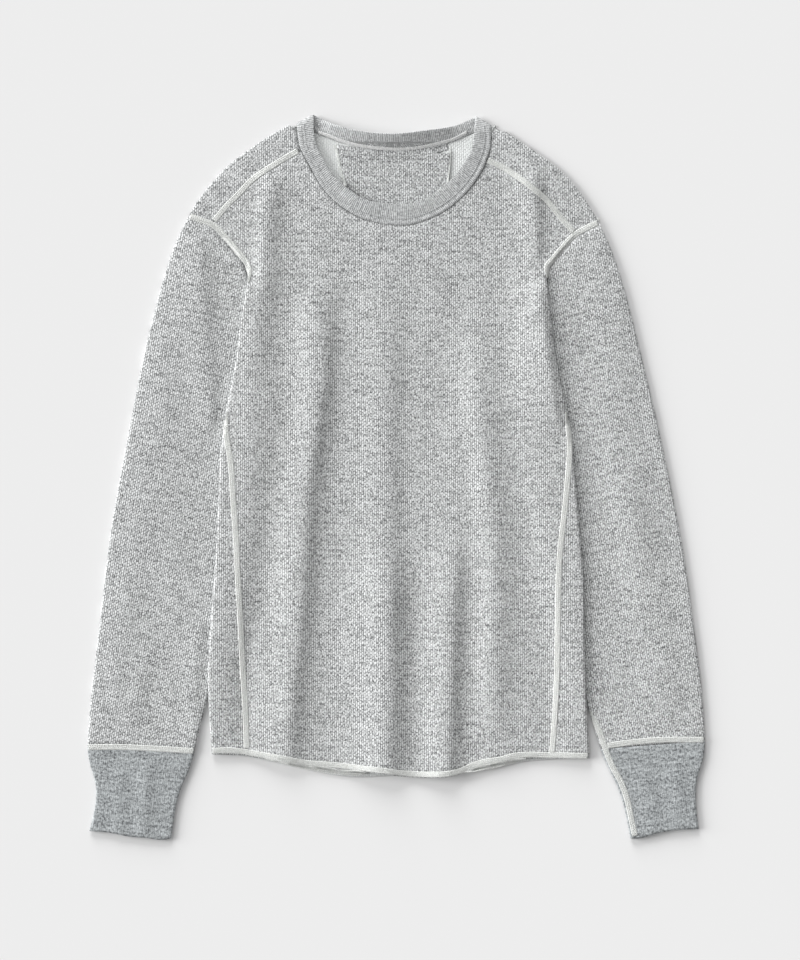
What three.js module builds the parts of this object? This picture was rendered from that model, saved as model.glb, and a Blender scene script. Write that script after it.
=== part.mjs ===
import * as THREE from "three";

// A long-sleeved thermal top of waffle knit, laid flat on its back with both sleeves drawn down
// beside the body. Millimetres, +X to the right, +Y to the neck, +Z up, the cloth's underside at 0.

// Cloth and layers
const CLOTH = 1.6;
const NECKBAND = 1.8;
const CUFF_CLOTH = 1.8;
const PATCH_CLOTH = 1.2;
const GAP = 0.3;
const SEAM_GAP = 0.4;
const TURN_GAP = 2.0; // more, where a side seam crosses its fold
const CROSSING = { y: 51, reach: 24 };
const SLEEVE_GAP = 0.5;
const NECK_GAP = 0.7;
const TIP_GAP = 2.5; // more, where the neckband turns over the shoulder
const FLOOR = CLOTH / 2;
const TUBE = 2.4; // between the middles of the two layers of a flat tube
const UPPER = FLOOR + TUBE;
const LAP = UPPER + CLOTH + GAP; // the body's lower layer where it lies on a sleeve
const TURN = 1.9; // radius of the body's side folds
const SHOULDER_TURN = TUBE / 2;
const HALF_PI = Math.PI / 2;

// Landmarks, as distances from the centre line and heights
const LANDMARKS = {
  left: { sign: -1, sleeveTop: [209, 271], frontTop: [184.5, 263], neckTip: [101.5, 366.8] },
  right: { sign: 1, sleeveTop: [211, 264], frontTop: [186.5, 251], neckTip: [105.4, 366.1] },
};
const FOLD_START = 217; // where the front begins to lie over the sleeve
const UNDERARM = 80;
const FOLD_FULL = 190; // where the side fold has its whole radius

// Body, distance from the centre line to the side folds
const BODY_EDGE = [
  { y: 217, left: 148.5, right: 157.5 },
  { y: 186, left: 152.5, right: 159.5 },
  { y: 155, left: 157, right: 163 },
  { y: 124, left: 160.5, right: 167 },
  { y: 83, left: 168.5, right: 175 },
  { y: 52, left: 174, right: 180.5 },
  { y: 18, left: 178, right: 185 },
  { y: -23, left: 178.5, right: 189 },
  { y: -64, left: 181, right: 192.5 },
  { y: -105, left: 183.5, right: 196 },
  { y: -146, left: 186.5, right: 196.5 },
  { y: -188, left: 190, right: 196.5 },
  { y: -229, left: 190, right: 198.5 },
  { y: -260, left: 187.5, right: 200 },
  { y: -286, left: 186, right: 202 },
];

// Side seams, distance round the fold from its edge, positive on top
const SIDE_SEAM = [
  { y: 80, left: -31, right: -31 },
  { y: 66, left: -16, right: -16 },
  { y: 52, left: 0, right: 0 },
  { y: 40, left: 6, right: 2 },
  { y: 18, left: 11.5, right: 5 },
  { y: -23, left: 15.5, right: 12.5 },
  { y: -64, left: 20.5, right: 20.5 },
  { y: -105, left: 25, right: 26.5 },
  { y: -146, left: 30.5, right: 28 },
  { y: -188, left: 36.5, right: 28.5 },
  { y: -229, left: 39, right: 32 },
  { y: -260, left: 38, right: 36 },
  { y: -286, left: 36.5, right: 39.5 },
];

// Armholes, from the sleeve's top corner down to the underarm
const BACK_ARMHOLE = {
  left: [[209, 271], [185.5, 228], [165, 181], [150.5, 132], [139, 80]],
  right: [[211, 264], [192, 224], [171, 179], [157, 132], [146, 80]],
};
const HIDDEN_ARMHOLE = [
  { y: 217, left: 148.5, right: 157.5 },
  { y: 186, left: 148.5, right: 157 },
  { y: 155, left: 149, right: 157 },
  { y: 132, left: 150.5, right: 157 },
  { y: 80, left: 139, right: 146 },
];

// Sleeves, distance from the centre line to their folds
const SLEEVE_OUTER = {
  left: [[209, 271], [216.5, 262], [223.5, 245], [230, 224], [242, 183], [252.5, 142], [261.5, 101],
    [269, 60], [277, 18], [285, -23], [291.5, -64], [296.5, -105], [301, -146], [306, -188],
    [311, -229], [314, -277]],
  right: [[211, 264], [216.5, 257.5], [222, 245], [228.5, 224], [241, 183], [251, 142], [261, 101],
    [271, 60], [280, 18], [288.5, -23], [296.5, -64], [303, -105], [308, -146], [314, -188],
    [318.5, -229], [320.5, -270.5]],
};
const SLEEVE_INNER = [
  { y: 80, left: 139, right: 146 },
  { y: 20, left: 149.5, right: 157 },
  { y: -60, left: 163, right: 171 },
  { y: -140, left: 177, right: 185 },
  { y: -219, left: 190, right: 198.5 },
  { y: -236, left: 193.5, right: 200 },
  { y: -250, left: 198, right: 205.5 },
  { y: -265, left: 201.5, right: 210 },
  { y: -280, left: 205, right: 214.5 },
];
const SLEEVE_END = { left: -281.5, right: -278.5 };

// Cuffs, their two edges and their rounded ends
const CUFFS = {
  left: {
    outer: [[314, -277.4], [311.5, -297], [305.5, -310], [304.5, -329], [307.5, -347], [312, -363.5]],
    inner: [[205, -281.9], [208, -296], [217.5, -314], [223.5, -333], [226.5, -353], [229, -370.5]],
    end: [[312, -363.5], [291, -365], [272, -369.5], [255.5, -370], [234, -373.5], [229, -370.5]],
  },
  right: {
    outer: [[320.5, -270.9], [319.5, -291.5], [312, -307], [311, -334], [312, -348], [314, -361.5]],
    inner: [[214.1, -278.9], [221.5, -296.5], [232, -317], [239, -339], [242.5, -356], [245, -371]],
    end: [[314, -361.5], [288.5, -362.5], [267, -367], [252, -372], [249, -372], [245, -371]],
  },
};

// Hems, x and y from the left side to the right
const FRONT_HEM = [
  [-150.5, -286], [-136, -288.5], [-116.5, -291.5], [-88, -296], [-57.5, -299], [-27, -302.5],
  [-8, -304.5], [7, -307], [40, -308.5], [58.5, -307.5], [70, -304.5], [82, -299], [95, -295.5],
  [108, -293.5], [124.5, -289.5], [163.5, -288.5],
];
const BACK_HEM = [
  [-223.5, -285.5], [-186, -284.5], [-157, -286], [-136, -289.5], [-102.5, -297.5], [-76, -303],
  [-56.5, -306.5], [-36.5, -308], [0, -306.5], [40, -305], [75, -303], [93.5, -300.5], [108.5, -298.5],
  [130, -292.5], [165, -289.5], [202, -288.5], [242.5, -288.5],
];

// Shoulders, the seam on top and how far the fold bulges past its chord
const SHOULDER_SEAM = {
  left: [[184.5, 263], [172.5, 278.5], [158, 293], [145.5, 306], [94.5, 337]],
  right: [[186.5, 251], [176, 263.5], [157.5, 286.5], [110, 321.5], [96, 327.5]],
};
const SHOULDER_BULGE = [
  { along: 0, left: 0, right: 0 },
  { along: 0.12, left: 6, right: 5 },
  { along: 0.27, left: 9, right: 9.5 },
  { along: 0.42, left: 12, right: 11 },
  { along: 0.51, left: 11, right: 10 },
  { along: 0.62, left: 9.2, right: 7.5 },
  { along: 0.75, left: 7.2, right: 3.8 },
  { along: 0.87, left: 4, right: 0.8 },
  { along: 1, left: 0, right: 0 },
];

// Neckband, where its seam and its free edge lie, from the left shoulder round the front
const NECKBAND_STATIONS = [
  { seam: [-99, 364.8, 2.5], edge: [-82, 373.5, 4.1] },
  { seam: [-98.5, 361.5, 3.8], edge: [-81.5, 370.5, 5.4] },
  { seam: [-98, 351, 4.1], edge: [-81.5, 357.5, 5.6] },
  { seam: [-94.5, 337, 4.6], edge: [-79, 342, 6] },
  { seam: [-85, 321, 5], edge: [-70.5, 326.5, 6.2] },
  { seam: [-77.5, 306, 5.2], edge: [-64.5, 314.5, 6.4] },
  { seam: [-56.5, 282, 5.3], edge: [-45.5, 297, 6.6] },
  { seam: [-34.5, 269, 5.3], edge: [-28, 286, 6.8] },
  { seam: [-16.5, 263.5, 5.3], edge: [-13.5, 283.5, 6.8] },
  { seam: [2, 261, 5.3], edge: [1, 282, 6.8] },
  { seam: [23.5, 262.5, 5.3], edge: [22.5, 283, 6.8] },
  { seam: [51.5, 274.5, 5.3], edge: [43, 292.5, 6.6] },
  { seam: [68, 287, 5.2], edge: [55.5, 303, 6.4] },
  { seam: [79.5, 299.5, 5.1], edge: [65, 313, 6.3] },
  { seam: [88, 311.5, 5], edge: [72.5, 324, 6.2] },
  { seam: [96, 327.5, 4.7], edge: [81, 337, 6] },
  { seam: [101, 348, 4.1], edge: [83, 352.5, 5.6] },
  { seam: [100.2, 359.3, 3.8], edge: [84.8, 368.8, 5.4] },
  { seam: [101, 362.5, 2.5], edge: [85.5, 372, 4.1] },
  { seam: [97.6, 361, 1.2], edge: [82.5, 370.8, 2.8] },
  { seam: [91.5, 358.5, 1], edge: [77, 368, 3.1] },
  { seam: [80.5, 354.5, 1], edge: [65, 363, 5.5] },
  { seam: [64, 347, 1], edge: [55.5, 360.5, 8.5] },
  { seam: [38, 340.5, 1], edge: [33.5, 357.5, 12] },
  { seam: [7, 337.5, 1], edge: [7, 354, 13.5] },
  { seam: [-20.5, 339, 1], edge: [-20.5, 355, 12.5] },
  { seam: [-44.5, 343.5, 1], edge: [-44, 359, 10] },
  { seam: [-67, 350.5, 1], edge: [-62, 364.5, 6.5] },
  { seam: [-81.5, 357, 1], edge: [-71.5, 368.5, 4.2] },
  { seam: [-90.5, 360.9, 1], edge: [-76, 370.8, 3.1] },
  { seam: [-96, 363, 1.2], edge: [-79.8, 372.6, 2.8] },
];
const CORNERS = { left: 3, right: 15 }; // stations where the shoulder seams meet the neckband
const TIPS = { left: 0, right: 18 };
const NECKBAND_STEPS = 2;
const NECKBAND_ACROSS = [0, 0.35, 0.7, 0.93, 1];
const NECKBAND_WALL = [1, 1, 1, 0.85, 0.5];

// Neck patch, sewn on the inside of the back
const PATCH = {
  left: [[-47, 297], [-53.5, 315], [-57.5, 334]],
  right: [[55.5, 297], [58, 315], [59, 334]],
  top: [[-57.5, 334], [-40, 335], [-20, 334], [7, 332], [36, 334.5], [59, 334]],
  bottom: [[-47, 297], [-38, 272], [-18, 255], [4, 250], [27, 255], [47, 272], [55.5, 297]],
};
const PATCH_COLUMNS = 10;
const PATCH_ROWS = 7;

// The front's largest folds: the ridge line's top, middle and foot, its height and its two slopes
const BODY_FOLDS = [
  { y: [185, 60, -290], x: [-80, -84, -108], height: 2.9, left: 24, right: 15 },
  { y: [190, 20, -290], x: [-8, -9, -14], height: 2.3, left: 26, right: 16 },
  { y: [-110, -200, -290], x: [47, 50, 53], height: 1.8, left: 20, right: 13 },
  { y: [130, 10, -290], x: [90, 96, 109], height: 2.4, left: 22, right: 17 },
  { y: [300, 255, 205], x: [138, 146, 150], height: 1.8, left: 12, right: 14 },
  { y: [285, 240, 190], x: [-134, -136, -130], height: 1.8, left: 14, right: 12 },
];
const SLEEVE_FOLDS = [
  { side: "left", y: [230, 80, -40], x: [-208, -228, -238], height: 1.6, left: 20, right: 15 },
  { side: "left", y: [20, -120, -240], x: [-262, -274, -284], height: 1.3, left: 16, right: 18 },
  { side: "right", y: [235, 90, -60], x: [196, 226, 250], height: 1.6, left: 20, right: 16 },
  { side: "right", y: [-20, -130, -250], x: [246, 260, 276], height: 1.3, left: 16, right: 18 },
];
const NECK_LIFT = 1.6; // the front rises over the neck patch
const NECK_MIDDLE = [0, 300];

const CLOTH_GREY = 0xb4b9bb;
const CUFF_GREY = 0xa4a9ac;

// Small sums
const clamp = (value, low, high) => Math.min(high, Math.max(low, value));
const mix = (a, b, t) => a + (b - a) * t;
const ease = (from, to, value) => {
  const t = clamp((value - from) / (to - from), 0, 1);
  return t * t * (3 - 2 * t);
};

// The value of a column at a place, smooth between the rows of a table
function read(rows, key, column, place) {
  const last = rows.length - 1;
  const falling = rows[0][key] > rows[last][key];
  const before = (a, b) => (falling ? a >= b : a <= b);
  if (before(place, rows[0][key])) return rows[0][column];
  if (before(rows[last][key], place)) return rows[last][column];
  const k = rows.findIndex((row) => !before(row[key], place)) - 1;
  const slope = (i) => {
    const a = rows[Math.max(0, i - 1)];
    const b = rows[Math.min(last, i + 1)];
    return (b[column] - a[column]) / (b[key] - a[key]);
  };
  const span = rows[k + 1][key] - rows[k][key];
  const t = (place - rows[k][key]) / span;
  const start = (1 + 2 * t) * (1 - t) ** 2 * rows[k][column] + t * (1 - t) ** 2 * span * slope(k);
  return start + t * t * (3 - 2 * t) * rows[k + 1][column] - t * t * (1 - t) * span * slope(k + 1);
}

// A line through points in the plane that keeps its legs' ends as corners, measured by a step's size
function measured(sizeOf, legs) {
  const points = [];
  const corners = [];
  const lengths = [0];
  for (const leg of legs) {
    points.push(...(points.length ? leg.slice(1) : leg));
    for (let i = lengths.length; i < points.length; i++) {
      lengths.push(lengths[i - 1] + sizeOf(points[i].clone().sub(points[i - 1])));
    }
    corners.push(points.length - 1);
  }
  const total = lengths[lengths.length - 1];
  const at = (t) => {
    const place = clamp(t, 0, 1) * total;
    let k = 1;
    while (k < lengths.length - 1 && lengths[k] < place) k++;
    const share = (place - lengths[k - 1]) / (lengths[k] - lengths[k - 1]);
    return points[k - 1].clone().lerp(points[k], share);
  };
  return { at, corners: corners.map((k) => lengths[k] / total) };
}

const route = (...legs) => measured((step) => step.length(), legs);
const routeUp = (...legs) => measured((step) => Math.abs(step.y), legs); // by height

// Points along a smooth curve through a short list
const CURVE_STEPS = 6;

function smooth(list) {
  const knots = list.map(([x, y]) => new THREE.Vector3(x, y, 0));
  const curve = new THREE.CatmullRomCurve3(knots, false, "centripetal");
  return curve.getPoints(CURVE_STEPS * (list.length - 1)).map((p) => new THREE.Vector2(p.x, p.y));
}

const straight = (list) => list.map(([x, y]) => new THREE.Vector2(x, y));
const mirrored = (list, sign) => list.map((p) => new THREE.Vector2(p.x * sign, p.y));

// A plane patch between four lines; a side's own shape fades towards the other side, and where
// levelTo is given the rows stay level up to that share of the height
function patchPoint(lines, u, v) {
  const high = lines.high.at(u);
  const point = lines.low.at(u).lerp(high, v);
  if (lines.levelTo) {
    const ends = [lines.high.at(0), lines.high.at(1)];
    const chord = mix(ends[0].y, ends[1].y, (high.x - ends[0].x) / (ends[1].x - ends[0].x));
    const weight = Math.max(0, (v - lines.levelTo) / (1 - lines.levelTo)) ** 1.5;
    point.y += (high.y - chord) * (weight - v);
  }
  const bend = (line, end, weight) => {
    const ruled = lines.low.at(end).lerp(lines.high.at(end), v);
    point.addScaledVector(line.at(v).sub(ruled), weight);
  };
  bend(lines.left, 0, (1 - u) ** 3);
  bend(lines.right, 1, u ** 3);
  return point;
}

// The direction of a line of points at one of them, true to its bend at an end too
function direction(points, i, ring) {
  const count = points.length;
  if (ring) return points[(i + 1) % count].clone().sub(points[(i + count - 1) % count]);
  if (i > 0 && i < count - 1) return points[i + 1].clone().sub(points[i - 1]);
  const step = i === 0 ? 1 : -1;
  const near = points[i + step].clone().sub(points[i]);
  const far = points[i + 2 * step].clone().sub(points[i]);
  const [a, b] = [near.length(), far.length()];
  return near.multiplyScalar(b * b).addScaledVector(far, -a * a).multiplyScalar(step);
}

// A sheet of cloth round a grid of middle points, with the rows joined end to end in a ring or not
function wall(rows, thickness, ring = false) {
  const across = rows[0].length;
  const columns = rows[0].map((_, i) => rows.map((row) => row[i]));
  const positions = [];
  const index = [];
  const normal = (j, i) => direction(rows[j], i, ring).cross(direction(columns[i], j, false)).normalize();
  for (const side of [1, -1]) {
    for (let j = 0; j < rows.length; j++) {
      for (let i = 0; i < across; i++) {
        const half = typeof thickness === "number" ? thickness / 2 : thickness(j, i) / 2;
        positions.push(...rows[j][i].clone().addScaledVector(normal(j, i), side * half).toArray());
      }
    }
  }
  const back = rows.length * across;
  const vertex = (j, i, offset) => offset + j * across + (i % across);
  const quad = (a, b, c, d) => index.push(a, b, c, a, c, d);
  const cells = ring ? across : across - 1;
  for (let j = 0; j < rows.length - 1; j++) {
    for (let i = 0; i < cells; i++) {
      quad(vertex(j, i, 0), vertex(j, i + 1, 0), vertex(j + 1, i + 1, 0), vertex(j + 1, i, 0));
      quad(vertex(j, i, back), vertex(j + 1, i, back), vertex(j + 1, i + 1, back), vertex(j, i + 1, back));
    }
  }
  const end = rows.length - 1;
  for (let i = 0; i < cells; i++) {
    quad(vertex(0, i, back), vertex(0, i + 1, back), vertex(0, i + 1, 0), vertex(0, i, 0));
    quad(vertex(end, i, 0), vertex(end, i + 1, 0), vertex(end, i + 1, back), vertex(end, i, back));
  }
  for (let j = 0; !ring && j < end; j++) {
    quad(vertex(j, 0, back), vertex(j, 0, 0), vertex(j + 1, 0, 0), vertex(j + 1, 0, back));
    quad(vertex(j, cells, 0), vertex(j, cells, back), vertex(j + 1, cells, back), vertex(j + 1, cells, 0));
  }
  return facingOut(positions, index);
}

// The mesh with its faces outward, whichever way its grid ran
function facingOut(positions, index) {
  const corner = (k) => new THREE.Vector3().fromArray(positions, index[k] * 3);
  let volume = 0;
  for (let k = 0; k < index.length; k += 3) {
    volume += corner(k).dot(corner(k + 1).cross(corner(k + 2)));
  }
  if (volume < 0) index.reverse();
  const geometry = new THREE.BufferGeometry();
  geometry.setAttribute("position", new THREE.Float32BufferAttribute(positions, 3));
  geometry.setIndex(index);
  geometry.computeVertexNormals();
  return geometry;
}

// Heights of the layers
const turnAt = (y) => TURN * ease(FOLD_START, FOLD_FULL, y);

function bodyEdge(side, y) {
  if (y <= FOLD_START) return read(BODY_EDGE, "y", side, y);
  const [out, top] = LANDMARKS[side].frontTop;
  return mix(BODY_EDGE[0][side], out, clamp((y - FOLD_START) / (top - FOLD_START), 0, 1));
}

// The sleeve's edge that the back lies on below the underarm, and meets above it
function underEdge(side, y) {
  return y < UNDERARM ? read(SLEEVE_INNER, "y", side, y) : read(HIDDEN_ARMHOLE, "y", side, y);
}

function lapHeight(side, y) {
  const clear = underEdge(side, y) - bodyEdge(side, y);
  return y > UNDERARM ? LAP : mix(LAP, FLOOR, ease(0, 18, clear));
}

function backHeight(x, y) {
  const side = x < 0 ? "left" : "right";
  const inward = Math.min(underEdge(side, y), bodyEdge(side, y)) - Math.abs(x);
  const rise = ease(132, UNDERARM + 2, y);
  return mix(FLOOR, lapHeight(side, y), rise * (1 - ease(9, 38, inward)));
}

function foldsHeight(folds, x, y) {
  let height = 0;
  for (const fold of folds) {
    const rows = fold.y.map((place, k) => ({ y: place, x: fold.x[k] }));
    const off = x - read(rows, "y", "x", y);
    const slope = off < 0 ? fold.left : fold.right;
    const foot = fold.y[2] < -280 ? 1 : ease(fold.y[2] - 45, fold.y[2], y);
    const fade = ease(fold.y[0] + 55, fold.y[0] - 15, y) * foot;
    height += fold.height * fade * Math.exp(-((off / slope) ** 2));
  }
  return height;
}

function frontHeight(x, y) {
  let sides = 0;
  let lift = 0;
  for (const side of ["left", "right"]) {
    const edge = bodyEdge(side, y);
    const inward = edge - x * LANDMARKS[side].sign;
    const lapped = y < FOLD_START ? Math.max(0, edge - underEdge(side, y)) : 0;
    const high = y < FOLD_START ? lapHeight(side, y) + 2 * turnAt(y)
      : mix(UPPER, LAP, ease(265, FOLD_START, y));
    const share = 1 - ease(lapped + 9, lapped + 42, inward);
    sides += share;
    lift += (high - UPPER) * share;
  }
  const neck = Math.hypot(x - NECK_MIDDLE[0], y - NECK_MIDDLE[1]);
  lift += NECK_LIFT * (1 - ease(62, 125, neck));
  return UPPER + lift + foldsHeight(BODY_FOLDS, x, y) * (1 - clamp(sides, 0, 1)) * ease(60, 110, neck);
}

function sleeveHeight(side, x, y) {
  const edge = bodyEdge(side, y);
  const outward = x * LANDMARKS[side].sign - edge;
  const shown = y > FOLD_START ? ease(0, 20, outward) : ease(4, 22, outward);
  const inTop = ease(-276, -235, y);
  return UPPER + foldsHeight(SLEEVE_FOLDS.filter((fold) => fold.side === side), x, y) * shown * inTop;
}

// Folds: an arc length from the fold's edge becomes a distance inward and a share of the far layer
function turned(arc, radius) {
  if (Math.abs(arc) >= radius * HALF_PI) {
    return { inward: Math.abs(arc) + radius * (1 - HALF_PI), share: arc > 0 ? 1 : 0 };
  }
  return { inward: radius * (1 - Math.cos(arc / radius)), share: (1 + Math.sin(arc / radius)) / 2 };
}

const arcOf = (inward, radius) =>
  inward < radius ? radius * Math.acos(1 - inward / radius) : inward - radius + radius * HALF_PI;
const EXTRA = HALF_PI - 1; // how much further out the unfolded edge lies, in radii

// Shoulder folds, in the direction of their chord and square to it
const SHOULDERS = Object.fromEntries(["left", "right"].map((side) => {
  const { sign, sleeveTop, neckTip } = LANDMARKS[side];
  const start = new THREE.Vector2(sign * sleeveTop[0], sleeveTop[1]);
  const chord = new THREE.Vector2(sign * neckTip[0], neckTip[1]).sub(start);
  const length = chord.length();
  const along = chord.normalize();
  const inner = new THREE.Vector2(-sign * Math.abs(along.y), -Math.abs(along.x));
  return [side, { start, along, inner, length }];
}));

function shoulderPlace(side, point) {
  const { start, along, inner, length } = SHOULDERS[side];
  const offset = point.clone().sub(start);
  const run = offset.dot(along);
  const bulge = read(SHOULDER_BULGE, "along", side, clamp(run / length, 0, 1));
  return { run, bulge, inward: offset.dot(inner) + bulge };
}

function shoulderPoint(side, run, bulge, inward) {
  const { start, along, inner } = SHOULDERS[side];
  return start.clone().addScaledVector(along, run).addScaledVector(inner, inward - bulge);
}

// A point of the worn layer laid out beyond the shoulder fold, or on the lower side of it
function shoulderUnfolded(side, point, upper) {
  const { run, bulge, inward } = shoulderPlace(side, point);
  const arc = arcOf(Math.max(0, inward), SHOULDER_TURN) * (upper ? -1 : 1);
  return shoulderPoint(side, run, bulge, arc - EXTRA * SHOULDER_TURN);
}

// Neckband curves
const ring3 = (key) => new THREE.CatmullRomCurve3(
  NECKBAND_STATIONS.map((station) => new THREE.Vector3(...station[key])), true, "centripetal");
const seamCurve = ring3("seam");
const edgeCurve = ring3("edge");
const STATIONS = NECKBAND_STATIONS.length;
const NECK_STEPS = 4;

function neckPoint(station) {
  const t = (station % STATIONS) / STATIONS;
  const fromTip = Math.min(...[TIPS.left, TIPS.right, STATIONS].map((tip) => Math.abs(station - tip)));
  const seam = seamCurve.getPoint(t);
  const edge = edgeCurve.getPoint(t);
  const out = new THREE.Vector2(seam.x - edge.x, seam.y - edge.y).normalize();
  const gap = NECK_GAP + TIP_GAP * Math.max(0, 1 - fromTip / 2);
  return new THREE.Vector2(seam.x, seam.y).addScaledVector(out, gap);
}

function neckLine(from, to) {
  const steps = Math.abs(to - from) * NECK_STEPS;
  return Array.from({ length: steps + 1 }, (_, k) => neckPoint(mix(from, to, k / steps)));
}

// Lines of the front and the back in their unfolded plane
const SEAM_HEIGHTS = [-286, -250, -210, -170, -130, -90, -50, -12, 18, 34, 44, 52, 61, 70, 80];
const SEAM_ROWS = SEAM_HEIGHTS.length - 1;
const HIDDEN_ROWS = 6;
const LEVEL_TO = 0.6;
const SIDE_STEPS = 48;
const ARMHOLE_STEPS = 24;

function sideLine(side, isFront) {
  const { sign } = LANDMARKS[side];
  const points = [];
  for (let k = 0; k <= SIDE_STEPS; k++) {
    const y = mix(SIDE_SEAM[SIDE_SEAM.length - 1].y, UNDERARM, k / SIDE_STEPS);
    const gap = SEAM_GAP + TURN_GAP * (1 - ease(0, CROSSING.reach, Math.abs(y - CROSSING.y)));
    const arc = read(SIDE_SEAM, "y", side, y) * (isFront ? 1 : -1) + gap / 2;
    const out = bodyEdge(side, y) + EXTRA * turnAt(y) - arc;
    points.push(new THREE.Vector2(sign * out, y));
  }
  return points;
}

const seamShare = (j) => (SEAM_HEIGHTS[j] - SEAM_HEIGHTS[0]) / (SEAM_HEIGHTS[SEAM_ROWS] - SEAM_HEIGHTS[0]);

function frontArmhole(side) {
  const { sign, frontTop } = LANDMARKS[side];
  const hidden = [];
  for (let k = 0; k <= ARMHOLE_STEPS; k++) {
    const y = mix(UNDERARM, FOLD_START, k / ARMHOLE_STEPS);
    const radius = turnAt(y);
    const edge = bodyEdge(side, y);
    const inward = Math.max(0, edge - read(HIDDEN_ARMHOLE, "y", side, y));
    const arc = radius > 0 ? -arcOf(inward, radius) : 0;
    hidden.push(new THREE.Vector2(sign * (edge + EXTRA * radius - arc), y));
  }
  const top = new THREE.Vector2(sign * frontTop[0], frontTop[1]);
  return { hidden, shown: [hidden[hidden.length - 1], top] };
}

function shoulderLine(side, isFront) {
  const { sign } = LANDMARKS[side];
  const seam = mirrored(smooth(SHOULDER_SEAM[side]), sign);
  const last = seam.length - 1;
  seam[last] = neckPoint(CORNERS[side]);
  return seam.map((p) => {
    const { run, bulge, inward } = shoulderPlace(side, p);
    const moved = shoulderPoint(side, run, bulge, inward + (isFront ? GAP : -GAP) / 2);
    return isFront ? moved : shoulderUnfolded(side, moved, true);
  });
}

// Columns and rows that follow a fold's arc, as distances in from the edge
const FOLD_COLUMNS = 6;
const FOLD_STEP = 1.5; // the least distance between two of them

function foldSteps(arc, radius) {
  const q = radius * HALF_PI;
  const places = [arc, (arc - q) / 2, -q, -q / 2, 0, q / 2, q];
  return places.map((place, k) => Math.max(place, arc + k * FOLD_STEP) - arc);
}

// Shares across a panel: fold columns, then even ones to each corner of the neck
function columnShare(k, counts, corners, leftSteps, rightSteps, width) {
  const [shoulder, neck] = counts;
  const last = 2 * FOLD_COLUMNS + 2 * shoulder + neck;
  if (k <= FOLD_COLUMNS) return leftSteps[k] / width;
  if (k >= last - FOLD_COLUMNS) return 1 - rightSteps[last - k] / width;
  const first = leftSteps[FOLD_COLUMNS] / width;
  const final = 1 - rightSteps[FOLD_COLUMNS] / width;
  const n = k - FOLD_COLUMNS;
  if (n <= shoulder) return mix(first, corners[0], n / shoulder);
  if (n <= shoulder + neck) return mix(corners[0], corners[1], (n - shoulder) / neck);
  return mix(corners[1], final, (n - shoulder - neck) / shoulder);
}

const sideArc = (side, point) =>
  bodyEdge(side, point.y) + EXTRA * turnAt(point.y) - point.x * LANDMARKS[side].sign;

// The plan of a panel's points, with columns laid along the side folds and rows between its corners
function panelGrid({ lines, counts, rowCount, rowShare, foldTop }) {
  const last = 2 * FOLD_COLUMNS + 2 * counts[0] + counts[1];
  const grid = [];
  for (let j = 0; j <= rowCount; j++) {
    const row = [];
    for (let k = 0; k <= last; k++) {
      const fromEdge = Math.min(k, last - k);
      let u = k / last;
      let v = rowShare(j, u);
      let arc = 0;
      for (let pass = 0; pass < 3; pass++) {
        const ends = { left: lines.left.at(v), right: lines.right.at(v) };
        const steps = {};
        for (const side of ["left", "right"]) {
          const folded = ends[side].y < foldTop ? sideArc(side, ends[side]) : 2 * TURN;
          steps[side] = foldSteps(folded, TURN);
        }
        u = columnShare(k, counts, lines.high.corners, steps.left, steps.right,
          ends.left.distanceTo(ends.right));
        v = rowShare(j, u);
        const side = k < last / 2 ? "left" : "right";
        arc = sideArc(side, ends[side]) + (steps[side][fromEdge] ?? 0);
      }
      const point = patchPoint(lines, u, v);
      const side = k < last / 2 ? "left" : "right";
      if (fromEdge > 0 && fromEdge <= FOLD_COLUMNS && point.y < foldTop) {
        point.x = LANDMARKS[side].sign * (bodyEdge(side, point.y) + EXTRA * turnAt(point.y) - arc);
      }
      row.push(point);
    }
    grid.push(row);
  }
  return grid;
}

// Front panel
const FRONT_COUNTS = [5, 18];
const SHOWN_ROWS = 3;

function frontMiddle(point) {
  const side = point.x < 0 ? "left" : "right";
  const { sign } = LANDMARKS[side];
  const radius = turnAt(point.y);
  const arc = sideArc(side, point);
  if (radius < 1e-3 || arc >= radius * HALF_PI) {
    return new THREE.Vector3(point.x, point.y, frontHeight(point.x, point.y));
  }
  const { inward, share } = turned(arc, radius);
  const x = sign * (bodyEdge(side, point.y) - inward);
  return new THREE.Vector3(x, point.y, mix(LAP, frontHeight(x, point.y), share));
}

function frontPanel() {
  const sides = Object.fromEntries(["left", "right"].map((side) => {
    const { hidden, shown } = frontArmhole(side);
    return [side, routeUp(sideLine(side, true), hidden, shown)];
  }));
  const shoulders = { left: shoulderLine("left", true), right: shoulderLine("right", true) };
  const top = route(
    shoulders.left, [shoulders.left.at(-1), ...neckLine(CORNERS.left, CORNERS.right).slice(1, -1),
      shoulders.right.at(-1)],
    shoulders.right.reverse());
  const lines = {
    left: sides.left,
    right: sides.right,
    low: route(smooth(FRONT_HEM)),
    high: top,
    levelTo: LEVEL_TO,
  };
  lines.left.at = pinned(lines.left.at, lines.low.at(0), top.at(0));
  lines.right.at = pinned(lines.right.at, lines.low.at(1), top.at(1));
  const rowShare = (j, u) => {
    const share = (side) => {
      const [seam, fold] = sides[side].corners;
      if (j <= SEAM_ROWS) return seam * seamShare(j);
      if (j <= SEAM_ROWS + HIDDEN_ROWS) return mix(seam, fold, (j - SEAM_ROWS) / HIDDEN_ROWS);
      return mix(fold, 1, (j - SEAM_ROWS - HIDDEN_ROWS) / SHOWN_ROWS);
    };
    return mix(share("left"), share("right"), u);
  };
  const count = SEAM_ROWS + HIDDEN_ROWS + SHOWN_ROWS;
  const grid = panelGrid({ lines, counts: FRONT_COUNTS, rowCount: count, rowShare, foldTop: FOLD_START });
  return wall(grid.map((row) => row.map(frontMiddle)), CLOTH);
}

// A side line whose two ends are moved onto its neighbours' ends
const PIN_POWER = 12; // how soon the shift fades

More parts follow.
